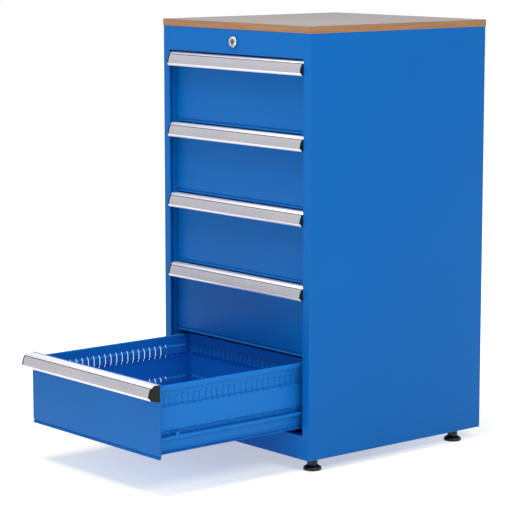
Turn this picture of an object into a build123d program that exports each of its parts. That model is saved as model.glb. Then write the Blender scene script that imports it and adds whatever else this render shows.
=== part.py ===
from build123d import *
import math
import os

# Drawer cabinet for a workshop, five equal drawers under a wooden top, the lowest one pulled out.
# Millimetres. X runs to the right as seen from the front, the front faces -Y and Z is up.
# The origin is on the floor, under the middle of the whole object with its lowest drawer out.

# Body of folded sheet steel
BODY_WIDTH = 548.0
BODY_DEPTH = 571.0
SKIN = 1.2
POST_WIDTH = 22.5
POST_LIP = 5.0
SIDE_FLANGE = 14.0
FASCIA_HEIGHT = 59.0
BOTTOM_RAIL_HEIGHT = 57.0
SHELF_FLANGE = 25.0
LIP_FLANGE = 16.0
BOTTOM_GAP = 9.0

# Uprights that carry the runners
UPRIGHT_WIDTH = 40.0
FRONT_UPRIGHT = 10.0
UPRIGHT_TOP_GAP = 24.0
UPRIGHT_SLOT_WIDTH = 5.0
UPRIGHT_SLOT_HEIGHT = 14.0
SLOTS_PER_DRAWER = 2

# Cross-members under the worktop
FRONT_MEMBER = 40.0
REAR_MEMBER_SETBACK = 46.0
MEMBER_WIDTH = 30.0
MEMBER_FLANGE = 20.0
BEARING_DROP = 13.0

# Worktop
BOARD_THICKNESS = 16.0
LAMINATE_THICKNESS = 0.6
EDGING_THICKNESS = 2.0
WORKTOP_OVERHANG = 0.5

# Feet
FOOT_HEIGHT = 28.0
FOOT_SIDE_INSET = 24.0
FOOT_FRONT_INSET = 33.0
FOOT_REAR_INSET = 72.0
PAD_DIAMETER = 42.0
PAD_RIM = 5.0
PAD_CONE = 7.0
SLEEVE_DIAMETER = 25.0
STUD_DIAMETER = 10.0
STUD_BOTTOM = 6.0
STUD_HEAD_ACROSS = 17.0
STUD_HEAD_HEIGHT = 7.0
STUD_CLEARANCE = 0.08
STUD_END_GAP = 0.8
SLEEVE_GAP = 0.3
NOTCH_CLEARANCE = 3.0

# Drawers
DRAWER_COUNT = 5
DRAWER_PITCH = 175.0
PANEL_RECESS = 23.0
PANEL_GAP = 1.5
PANEL_SHEET = 1.2
PANEL_RETURN = 4.0
HANDLE_DROP = 4.0
FOLD_RISE = 7.8
GROOVE_BACK = 3.4
GROOVE_DROP = 3.2
LIP_FORWARD = 4.6
LIP_DROP = 5.2
BOX_DEPTH = 460.0
BOX_SHEET = 1.0
BOX_TOP_GAP = 11.5
FLOOR_RISE = 0.6
HEM_WIDTH = 6.0
HEM_HEIGHT = 11.0

# Slotted strips pressed into the drawer walls
STRIP_DEPTH = 3.6
STRIP_HEIGHT = 26.0
STRIP_FLAT = 17.0
STRIP_END = 10.0
UPPER_STRIP_DROP = 37.2
LOWER_STRIP_RISE = 38.5
SLIT_PITCH = 17.0
SLIT_WIDTH = 2.2
SLIT_HEIGHT = 15.0

# Handle, an open extrusion whose curved face holds a label strip
HANDLE_HEIGHT = 40.0
HANDLE_DEPTH = 30.0
HANDLE_WALL = 2.2
HANDLE_BEAD = 3.3
HANDLE_ROUND = 2.5
FACE_RADIUS = 37.6
FACE_LEVEL = 12.0
LIP_LEVEL = 5.5
LIP_REACH = 24.5
LIP_ROUND = 1.0
BACK_FLANGE = 20.0
CHANNEL_DEPTH = 1.0
CHANNEL_TOP = 34.6
LABEL_TOP = 33.2
LABEL_THICKNESS = 0.8
CAP_LENGTH = 4.0
CAP_CLEARANCE = 0.1

# Roller runners
CABINET_RAIL_SHEET = 1.5
CABINET_RAIL_DEPTH = 8.5
DRAWER_RAIL_SHEET = 1.2
DRAWER_RAIL_DEPTH = 10.5
RAIL_GAP = 1.5
RAIL_START = 30.0
REAR_SPACE = 31.0
RUNNER_RISE = 24.3
ROLLER_DIAMETER = 26.0
ROLLER_SETBACK = 15.0
ROLLER_PLAY = 0.3
RIDE_GAP = 0.1
AXLE_DIAMETER = 6.0
AXLE_CLEARANCE = 0.08
AXLE_HEXAGON = 12.0
AXLE_END_GAP = 0.5
LEAST_WHEELBASE = 38.0

# Central lock
LOCK_DIAMETER = 27.0
LOCK_PROUD = 6.0
LOCK_CHAMFER = 1.5
BARREL_DIAMETER = 20.0
BARREL_LENGTH = 22.0
BARREL_CLEARANCE = 0.2
LOCK_NUT_ACROSS = 25.0
LOCK_NUT_HEIGHT = 4.0
PLUG_DIAMETER = 14.0
PLUG_CLEARANCE = 0.08
PLUG_RECESS = 0.8
KEYHOLE_HEIGHT = 8.0
KEYHOLE_WIDTH = 1.6
KEYHOLE_DEPTH = 4.0
SHAFT_DIAMETER = 8.0
SHAFT_CLEARANCE = 0.3
CRANK_RADIUS = 12.0
CRANK_THICKNESS = 3.0
CRANK_GAP = 1.0
PIN_DIAMETER = 5.0
PIN_CLEARANCE = 0.5
LOCK_SWING = 90.0
BAR_WIDTH = 20.0
BAR_THICKNESS = 3.0
BAR_GAP = 4.0
BAR_END = 12.0
HOOK_WIDTH = 10.0
HOOK_TAIL = 4.0
HOOK_RELIEF = 1.0
CATCH_RISE = 88.0
CATCH_SHEET = 3.0
CATCH_WIDTH = 14.0
CATCH_LIP = 14.0
CATCH_FOOT = 20.0
CATCH_PLAY = 7.0
GUIDE_SHEET = 1.2
GUIDE_HEIGHT = 20.0
GUIDE_RISE = 120.0
GUIDE_CLEARANCE = 0.5

# Heights
BODY_HEIGHT = FASCIA_HEIGHT + DRAWER_COUNT * DRAWER_PITCH + BOTTOM_GAP + BOTTOM_RAIL_HEIGHT
BODY_BOTTOM = FOOT_HEIGHT
BODY_TOP = BODY_BOTTOM + BODY_HEIGHT
BASE_PLATE_BOTTOM = BODY_BOTTOM + SKIN
BASE_PLATE_TOP = BASE_PLATE_BOTTOM + SKIN
MODULE_TOP = BODY_TOP - FASCIA_HEIGHT
MODULE_BOTTOM = MODULE_TOP - DRAWER_PITCH
LOCK_LEVEL = BODY_TOP - FASCIA_HEIGHT / 2

# Places across the width, on the right half
HALF_WIDTH = BODY_WIDTH / 2
SKIN_INSIDE = HALF_WIDTH - SKIN
POST_INSIDE = HALF_WIDTH - POST_WIDTH
PANEL_HALF = POST_INSIDE - PANEL_GAP
THROUGH_SHEET = 3 * SKIN
CABINET_RAIL_TIP = POST_INSIDE - CABINET_RAIL_DEPTH
CABINET_RAIL_WEB = POST_INSIDE - CABINET_RAIL_SHEET
DRAWER_RAIL_TIP = CABINET_RAIL_TIP - RAIL_GAP
BOX_OUTSIDE = DRAWER_RAIL_TIP - DRAWER_RAIL_DEPTH
BOX_INSIDE = BOX_OUTSIDE - BOX_SHEET
DRAWER_RAIL_WEB = BOX_OUTSIDE + DRAWER_RAIL_SHEET

# Runners along the depth, as distances behind the front plane of the posts
RAIL_END = BODY_DEPTH - REAR_SPACE
REAR_MEMBER = BODY_DEPTH - REAR_MEMBER_SETBACK
FRONT_ROLLER = RAIL_START + ROLLER_SETBACK
REAR_ROLLER = RAIL_END - ROLLER_SETBACK
TRAVEL = REAR_ROLLER - FRONT_ROLLER - LEAST_WHEELBASE
FRONT_Y = -(BODY_DEPTH + WORKTOP_OVERHANG + PANEL_RECESS - TRAVEL - HANDLE_DEPTH) / 2


def behind(distance):
    """Y of the place this far behind the front plane of the posts."""
    return FRONT_Y + distance


# Drawer places in the topmost closed position
PANEL_FRONT = behind(PANEL_RECESS)
PANEL_BACK = PANEL_FRONT + PANEL_SHEET
FOLD_LEVEL = MODULE_BOTTOM + FOLD_RISE
HANDLE_TOP = MODULE_TOP - HANDLE_DROP
BOX_BOTTOM = FOLD_LEVEL + FLOOR_RISE
BOX_TOP = MODULE_TOP - BOX_TOP_GAP
BOX_FRONT = PANEL_BACK + BOX_SHEET
BOX_REAR = BOX_FRONT + BOX_DEPTH
RUNNER_LEVEL = FOLD_LEVEL + RUNNER_RISE
ROLLER_RADIUS = ROLLER_DIAMETER / 2
CATCH_LEVEL = FOLD_LEVEL + CATCH_RISE
UPPER_STRIP = BOX_TOP - UPPER_STRIP_DROP
LOWER_STRIP = FOLD_LEVEL + LOWER_STRIP_RISE
MODULE_STEPS = [-DRAWER_PITCH * number for number in range(DRAWER_COUNT)]

# Lock linkage behind the drawers
MEMBER_BACK = behind(REAR_MEMBER + MEMBER_WIDTH)
CRANK_FRONT = MEMBER_BACK + CRANK_GAP
BAR_FRONT = CRANK_FRONT + CRANK_THICKNESS + BAR_GAP
BAR_BACK = BAR_FRONT + BAR_THICKNESS
HALF_SWING = math.radians(LOCK_SWING / 2)
PIN_DROP = CRANK_RADIUS * math.sin(HALF_SWING)
PIN_REACH = CRANK_RADIUS * math.cos(HALF_SWING)
BAR_CENTRE = -(CRANK_RADIUS + PIN_REACH) / 2
BAR_RISE = 2 * PIN_DROP


def folded(points, thickness):
    """Closed outline of a bent sheet: a line along one face, and the other face to the left of it."""
    normals = []
    for (ax, ay), (bx, by) in zip(points, points[1:]):
        length = math.hypot(bx - ax, by - ay)
        normals.append(((ay - by) / length, (bx - ax) / length))
    normals = [normals[0], *normals, normals[-1]]
    other_face = []
    for (x, y), (ax, ay), (bx, by) in zip(points, normals, normals[1:]):
        reach = thickness / (1 + ax * bx + ay * by)
        other_face.append((x + (ax + bx) * reach, y + (ay + by) * reach))
    return [*points, *reversed(other_face)]


def save(piece, name):
    """Label a finished piece and write it to its own file."""
    piece.label = name
    export_step(piece, f"parts/{name}.step")


def side_panel():
    """Right side: a post folded round the front edge, the skin, and flanges at rear, top and bottom."""
    line = [
        (POST_INSIDE, behind(POST_LIP)),
        (POST_INSIDE, behind(0)),
        (HALF_WIDTH, behind(0)),
        (HALF_WIDTH, behind(BODY_DEPTH)),
        (HALF_WIDTH - SIDE_FLANGE, behind(BODY_DEPTH)),
    ]
    with BuildPart() as panel:
        with BuildSketch(Plane.XY.offset(BODY_BOTTOM)):
            Polygon(*folded(line, SKIN), align=None)
        extrude(amount=BODY_HEIGHT)
        for level in (BODY_BOTTOM, BODY_TOP - SKIN):
            with BuildSketch(Plane.XY.offset(level)):
                with Locations((HALF_WIDTH - SIDE_FLANGE, behind(0))):
                    Rectangle(SIDE_FLANGE, BODY_DEPTH, align=Align.MIN)
            extrude(amount=SKIN)
    return panel.part


def uprights():
    """Front and rear slotted channel on the right side, open towards the skin."""
    rear_upright = RAIL_END + POST_LIP - UPRIGHT_WIDTH
    top = BODY_TOP - UPRIGHT_TOP_GAP
    slot_pitch = DRAWER_PITCH / SLOTS_PER_DRAWER
    slot_count = DRAWER_COUNT * SLOTS_PER_DRAWER
    notch = STUD_HEAD_ACROSS + 2 * NOTCH_CLEARANCE
    foot = foot_places()
    with BuildPart() as pair:
        for start in (FRONT_UPRIGHT, rear_upright):
            line = [
                (SKIN_INSIDE, behind(start + UPRIGHT_WIDTH)),
                (POST_INSIDE, behind(start + UPRIGHT_WIDTH)),
                (POST_INSIDE, behind(start)),
                (SKIN_INSIDE, behind(start)),
            ]
            with BuildSketch(Plane.XY.offset(BASE_PLATE_TOP)):
                Polygon(*folded(line, SKIN), align=None)
            extrude(amount=top - BASE_PLATE_TOP)
            with BuildSketch(Plane.YZ.offset(POST_INSIDE - SKIN)):
                slot_middle = MODULE_TOP - DRAWER_COUNT * DRAWER_PITCH / 2
                with Locations((behind(start + UPRIGHT_WIDTH / 2), slot_middle)):
                    with GridLocations(1, slot_pitch, 1, slot_count):
                        Rectangle(UPRIGHT_SLOT_WIDTH, UPRIGHT_SLOT_HEIGHT)
            extrude(amount=THROUGH_SHEET, mode=Mode.SUBTRACT)
        with BuildSketch(Plane.XY.offset(BASE_PLATE_TOP)):
            with Locations(foot["front_right"], foot["rear_right"]):
                Rectangle(notch, notch)
        extrude(amount=STUD_HEAD_HEIGHT + NOTCH_CLEARANCE, mode=Mode.SUBTRACT)
    return pair.part


def back_panel():
    """Flat sheet behind the drawers, with three straps that guide the lock bar."""
    inside = behind(BODY_DEPTH) - 2 * SKIN
    half_bar = BAR_WIDTH / 2 + GUIDE_CLEARANCE + GUIDE_SHEET
    strap_front = BAR_FRONT - GUIDE_CLEARANCE - GUIDE_SHEET
    strap = [
        (BAR_CENTRE + half_bar, inside),
        (BAR_CENTRE + half_bar, strap_front),
        (BAR_CENTRE - half_bar, strap_front),
        (BAR_CENTRE - half_bar, inside),
    ]
    strap.reverse()
    with BuildPart() as back:
        with BuildSketch(Plane.XZ.offset(-inside)):
            with Locations((0, BODY_BOTTOM + BODY_HEIGHT / 2)):
                Rectangle(2 * SKIN_INSIDE, BODY_HEIGHT - 2 * SKIN)
        extrude(amount=-SKIN)
        for step in MODULE_STEPS[::2]:
            with BuildSketch(Plane.XY.offset(FOLD_LEVEL + step + GUIDE_RISE - GUIDE_HEIGHT / 2)):
                Polygon(*folded(strap, GUIDE_SHEET), align=None)
            extrude(amount=GUIDE_HEIGHT)
    return back.part


def front_fascia():
    """Folded strip above the drawers, with the hole for the lock."""
    line = [
        (behind(SHELF_FLANGE), BODY_TOP),
        (behind(0), BODY_TOP),
        (behind(0), MODULE_TOP),
        (behind(LIP_FLANGE), MODULE_TOP),
    ]
    with BuildPart() as fascia:
        with BuildSketch(Plane.YZ.offset(-POST_INSIDE)):
            Polygon(*folded(line, SKIN), align=None)
        extrude(amount=2 * POST_INSIDE)
        with BuildSketch(Plane.XZ.offset(-behind(-SKIN))):
            with Locations((0, LOCK_LEVEL)):
                Circle(BARREL_DIAMETER / 2 + BARREL_CLEARANCE)
        extrude(amount=-THROUGH_SHEET, mode=Mode.SUBTRACT)
    return fascia.part


def bottom_rail():
    """Folded strip under the lowest drawer."""
    top = BODY_BOTTOM + BOTTOM_RAIL_HEIGHT
    line = [
        (behind(SHELF_FLANGE), top),
        (behind(0), top),
        (behind(0), BODY_BOTTOM),
        (behind(LIP_FLANGE), BODY_BOTTOM),
    ]
    with BuildPart() as rail:
        with BuildSketch(Plane.YZ.offset(-POST_INSIDE)):
            Polygon(*folded(line, SKIN), align=None)
        extrude(amount=2 * POST_INSIDE)
    return rail.part


def foot_places():
    """Plan position of the four feet by name."""
    side = HALF_WIDTH - FOOT_SIDE_INSET
    front = behind(FOOT_FRONT_INSET)
    rear = behind(BODY_DEPTH - FOOT_REAR_INSET)
    return {
        "front_left": (-side, front),
        "front_right": (side, front),
        "rear_left": (-side, rear),
        "rear_right": (side, rear),
    }


def base_plate():
    """Floor of the body, lying on the bottom flanges, with holes for the four studs."""
    start = behind(POST_LIP) + SKIN
    depth = behind(BODY_DEPTH) - 2 * SKIN - start
    with BuildPart() as plate:
        with BuildSketch(Plane.XY.offset(BASE_PLATE_BOTTOM)):
            with Locations((0, start)):
                Rectangle(2 * SKIN_INSIDE, depth, align=(Align.CENTER, Align.MIN))
            with Locations(*foot_places().values()):
                Circle(STUD_DIAMETER / 2 + STUD_CLEARANCE, mode=Mode.SUBTRACT)
        extrude(amount=SKIN)
    return plate.part


def top_crossmembers():
    """Two inverted channels under the top flanges; the rear one hangs lower to carry the lock shaft."""
    top = BODY_TOP - SKIN
    bearing = LOCK_LEVEL - BEARING_DROP
    with BuildPart() as members:
        for start, rear_foot in ((FRONT_MEMBER, top - MEMBER_FLANGE), (REAR_MEMBER, bearing)):
            line = [
                (behind(start + MEMBER_WIDTH), rear_foot),
                (behind(start + MEMBER_WIDTH), top),
                (behind(start), top),
                (behind(start), top - MEMBER_FLANGE),
            ]
            with BuildSketch(Plane.YZ.offset(-SKIN_INSIDE)):
                Polygon(*folded(line, SKIN), align=None)
            extrude(amount=2 * SKIN_INSIDE)
        with BuildSketch(Plane.XZ.offset(-(MEMBER_BACK - 2 * SKIN))):
            with Locations((0, LOCK_LEVEL)):
                Circle(SHAFT_DIAMETER / 2 + SHAFT_CLEARANCE)
        extrude(amount=-THROUGH_SHEET, mode=Mode.SUBTRACT)
    return members.part


def worktop_board():
    """Board between the edging strips."""
    width = BODY_WIDTH + 2 * (WORKTOP_OVERHANG - EDGING_THICKNESS)
    depth = BODY_DEPTH + 2 * (WORKTOP_OVERHANG - EDGING_THICKNESS)
    with BuildPart() as board:
        with BuildSketch(Plane.XY.offset(BODY_TOP)):
            with Locations((0, behind(BODY_DEPTH / 2))):
                Rectangle(width, depth)
        extrude(amount=BOARD_THICKNESS)
    return board.part


def worktop_laminate():
    """Thin sheet over the board and its edging."""
    with BuildPart() as laminate:
        with BuildSketch(Plane.XY.offset(BODY_TOP + BOARD_THICKNESS)):
            with Locations((0, behind(BODY_DEPTH / 2))):
                Rectangle(BODY_WIDTH + 2 * WORKTOP_OVERHANG, BODY_DEPTH + 2 * WORKTOP_OVERHANG)
        extrude(amount=LAMINATE_THICKNESS)
    return laminate.part


def worktop_edging():
    """Four wooden strips round the board: two the full depth, two between them."""
    half_width = HALF_WIDTH + WORKTOP_OVERHANG
    half_depth = BODY_DEPTH / 2 + WORKTOP_OVERHANG
    half_strip = EDGING_THICKNESS / 2
    with BuildPart() as edging:
        with BuildSketch(Plane.XY.offset(BODY_TOP)):
            with Locations((0, behind(BODY_DEPTH / 2))):
                with GridLocations(2 * (half_width - half_strip), 1, 2, 1):
                    Rectangle(EDGING_THICKNESS, 2 * half_depth)
        extrude(amount=BOARD_THICKNESS)
    with BuildPart() as crossing:
        with BuildSketch(Plane.XY.offset(BODY_TOP)):
            with Locations((0, behind(BODY_DEPTH / 2))):
                with GridLocations(1, 2 * (half_depth - half_strip), 1, 2):
                    Rectangle(2 * (half_width - EDGING_THICKNESS), EDGING_THICKNESS)
        extrude(amount=BOARD_THICKNESS)
    return Compound([*edging.part.solids(), *crossing.part.solids()])


def foot_studs():
    """Four studs through the base plate, hanging on their hexagons, drawn without the thread."""
    with BuildPart() as studs:
        with BuildSketch(Plane.XY.offset(STUD_BOTTOM)):
            with Locations(*foot_places().values()):
                Circle(STUD_DIAMETER / 2)
        extrude(amount=BASE_PLATE_TOP - STUD_BOTTOM)
        with BuildSketch(Plane.XY.offset(BASE_PLATE_TOP)):
            with Locations(*foot_places().values()):
                RegularPolygon(STUD_HEAD_ACROSS / 2, 6, major_radius=False)
        extrude(amount=STUD_HEAD_HEIGHT)
    return studs.part


def foot():
    """Levelling foot: a coned pad and a sleeve, bored for the stud."""
    pad = PAD_DIAMETER / 2
    sleeve = SLEEVE_DIAMETER / 2
    sleeve_top = BODY_BOTTOM - SLEEVE_GAP
    bore = STUD_DIAMETER / 2 + STUD_CLEARANCE
    bore_floor = STUD_BOTTOM - STUD_END_GAP
    with BuildPart() as body:
        with BuildSketch(Plane.XZ):
            with BuildLine():
                Polyline(
                    (0, 0),
                    (pad, 0),
                    (pad, PAD_RIM),
                    (sleeve, PAD_RIM + PAD_CONE),
                    (sleeve, sleeve_top),
                    (bore, sleeve_top),
                    (bore, bore_floor),
                    (0, bore_floor),
                    close=True,
                )
            make_face()
        revolve(axis=Axis.Z)
    return body.part


def lock_body():
    """Round escutcheon and barrel of the lock, open for the turning plug."""
    flange = LOCK_DIAMETER / 2
    front = behind(-LOCK_PROUD)
    with BuildPart() as body:
        with BuildSketch(Plane.XZ.offset(-front)):
            with Locations((0, LOCK_LEVEL)):
                Circle(flange)
        extrude(amount=-LOCK_PROUD)
        chamfer(body.faces().sort_by(Axis.Y)[0].edges(), LOCK_CHAMFER)
        with BuildSketch(Plane.XZ.offset(-behind(0))):
            with Locations((0, LOCK_LEVEL)):
                Circle(BARREL_DIAMETER / 2)
        extrude(amount=-BARREL_LENGTH)
        with BuildSketch(Plane.XZ.offset(-front)):
            with Locations((0, LOCK_LEVEL)):
                Circle(PLUG_DIAMETER / 2 + PLUG_CLEARANCE)
        extrude(amount=-(LOCK_PROUD + BARREL_LENGTH), mode=Mode.SUBTRACT)
    return body.part


def lock_nut():
    """Nut behind the fascia that clamps the lock."""
    with BuildPart() as nut:
        with BuildSketch(Plane.XZ.offset(-behind(SKIN))):
            with Locations((0, LOCK_LEVEL)):
                RegularPolygon(LOCK_NUT_ACROSS / 2, 6, major_radius=False)
                Circle(BARREL_DIAMETER / 2 + BARREL_CLEARANCE, mode=Mode.SUBTRACT)
        extrude(amount=-LOCK_NUT_HEIGHT)
    return nut.part


def lock_plug():
    """Turning plug with its keyhole upright."""
    front = behind(PLUG_RECESS - LOCK_PROUD)
    with BuildPart() as plug:
        with BuildSketch(Plane.XZ.offset(-front)):
            with Locations((0, LOCK_LEVEL)):
                Circle(PLUG_DIAMETER / 2)
        extrude(amount=-(behind(BARREL_LENGTH) - front))
        with BuildSketch(Plane.XZ.offset(-front)):
            with Locations((0, LOCK_LEVEL)):
                Rectangle(KEYHOLE_WIDTH, KEYHOLE_HEIGHT)
        extrude(amount=-KEYHOLE_DEPTH, mode=Mode.SUBTRACT)
    return plug.part


def lock_shaft():
    """Rod from the plug to a crank behind the rear cross-member, its pin at the bottom of the swing."""
    start = behind(BARREL_LENGTH)
    pin_end = BAR_BACK + CRANK_GAP
    with BuildPart() as shaft:
        with BuildSketch(Plane.XZ.offset(-start)):
            with Locations((0, LOCK_LEVEL)):
                Circle(SHAFT_DIAMETER / 2)
        extrude(amount=-(CRANK_FRONT + CRANK_THICKNESS - start))
        with BuildSketch(Plane.XZ.offset(-CRANK_FRONT)):
            with Locations((-PIN_REACH / 2, LOCK_LEVEL - PIN_DROP / 2)):
                SlotCenterToCenter(CRANK_RADIUS, SHAFT_DIAMETER, rotation=LOCK_SWING / 2)
        extrude(amount=-CRANK_THICKNESS)
        with BuildSketch(Plane.XZ.offset(-(CRANK_FRONT + CRANK_THICKNESS))):
            with Locations((-PIN_REACH, LOCK_LEVEL - PIN_DROP)):
                Circle(PIN_DIAMETER / 2)
        extrude(amount=-(pin_end - CRANK_FRONT - CRANK_THICKNESS))
    return shaft.part


def lock_bar():
    """Flat bar that the crank lifts, with a hook welded on for each drawer, below the lip of its catch."""
    slot_length = CRANK_RADIUS - PIN_REACH + PIN_DIAMETER + 2 * PIN_CLEARANCE
    slot_level = LOCK_LEVEL - PIN_DROP
    catch_tip = behind(RAIL_END)
    hook_tip = catch_tip - CATCH_SHEET - CATCH_PLAY
    finger_top = CATCH_LEVEL - BAR_RISE - HOOK_RELIEF
    arm_top = finger_top - CATCH_LIP
    lowest = arm_top - HOOK_TAIL + MODULE_STEPS[-1] - BAR_END
    hook = [
        (BAR_FRONT, arm_top - HOOK_TAIL),
        (hook_tip - CATCH_SHEET, arm_top - HOOK_TAIL),
        (hook_tip - CATCH_SHEET, finger_top),
        (hook_tip, finger_top),
        (hook_tip, arm_top),
        (BAR_FRONT, arm_top),
    ]
    with BuildPart() as bar:
        with BuildSketch(Plane.XZ.offset(-BAR_FRONT)):
            with Locations((BAR_CENTRE, lowest)):
                Rectangle(BAR_WIDTH, slot_level + BAR_END - lowest, align=(Align.CENTER, Align.MIN))
            with Locations((BAR_CENTRE, slot_level)):
                Rectangle(slot_length, PIN_DIAMETER + 2 * PIN_CLEARANCE, mode=Mode.SUBTRACT)
        extrude(amount=-BAR_THICKNESS)
    with BuildPart() as hooks:
        with BuildSketch(Plane.YZ.offset(BAR_CENTRE - HOOK_WIDTH / 2)):
            with Locations(*[(0, step) for step in MODULE_STEPS]):
                Polygon(*hook, align=None)
        extrude(amount=HOOK_WIDTH)
    return Compound([*bar.part.solids(), *hooks.part.solids()])


def cabinet_rails():
    """Right-hand channels fixed to the uprights, one per drawer, each with the axle of its front roller."""
    half_channel = ROLLER_RADIUS + ROLLER_PLAY + CABINET_RAIL_SHEET
    line = [
        (CABINET_RAIL_TIP, RUNNER_LEVEL - half_channel),
        (POST_INSIDE, RUNNER_LEVEL - half_channel),
        (POST_INSIDE, RUNNER_LEVEL + half_channel),
        (CABINET_RAIL_TIP, RUNNER_LEVEL + half_channel),
    ]
    levels = [(0, step) for step in MODULE_STEPS]
    axle = [(behind(FRONT_ROLLER), RUNNER_LEVEL + step) for step in MODULE_STEPS]
    journal_start = DRAWER_RAIL_WEB + AXLE_END_GAP
    hexagon_start = DRAWER_RAIL_TIP - AXLE_END_GAP
    with BuildPart() as rails:
        with BuildSketch(Plane.XZ.offset(-behind(RAIL_START))):
            with Locations(*levels):
                Polygon(*folded(line, CABINET_RAIL_SHEET), align=None)
        extrude(amount=-(RAIL_END - RAIL_START))
        with BuildSketch(Plane.YZ.offset(hexagon_start)):
            with Locations(*axle):
                RegularPolygon(AXLE_HEXAGON / 2, 6)
        extrude(amount=CABINET_RAIL_WEB - hexagon_start)
        with BuildSketch(Plane.YZ.offset(journal_start)):
            with Locations(*axle):
                Circle(AXLE_DIAMETER / 2)
        extrude(amount=hexagon_start - journal_start)
    return rails.part


def roller_pair(place, inside, outside):
    """Two rollers, left and right, that turn on stub axles between the places inside and outside."""
    start = inside + ROLLER_PLAY
    with BuildPart() as rollers:
        with BuildSketch(Plane.YZ.offset(start)):
            with Locations((behind(place), RUNNER_LEVEL)):
                Circle(ROLLER_RADIUS)
                Circle(AXLE_DIAMETER / 2 + AXLE_CLEARANCE, mode=Mode.SUBTRACT)
        extrude(amount=outside - ROLLER_PLAY - start)
        mirror(about=Plane.YZ)
    return rollers.part


def front_rollers():
    """Rollers on the axles of the cabinet rails, running inside the drawer's channels."""
    return roller_pair(FRONT_ROLLER, DRAWER_RAIL_WEB + AXLE_END_GAP, DRAWER_RAIL_TIP - AXLE_END_GAP)


def rear_rollers():
    """Rollers on the tails of the drawer's channels, running inside the cabinet rails."""
    return roller_pair(REAR_ROLLER, CABINET_RAIL_TIP, CABINET_RAIL_WEB - AXLE_END_GAP)


def strip_outline(face, inward, level, sheet):
    """Corners of a strip pressed inward from a wall face, or with a sheet given, of its hollow back."""
    base = face - inward * sheet
    crown = face + inward * (STRIP_DEPTH - sheet)
    return [
        (base, level - STRIP_HEIGHT / 2),
        (crown, level - STRIP_FLAT / 2),
        (crown, level + STRIP_FLAT / 2),
        (base, level + STRIP_HEIGHT / 2),
    ]


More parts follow.
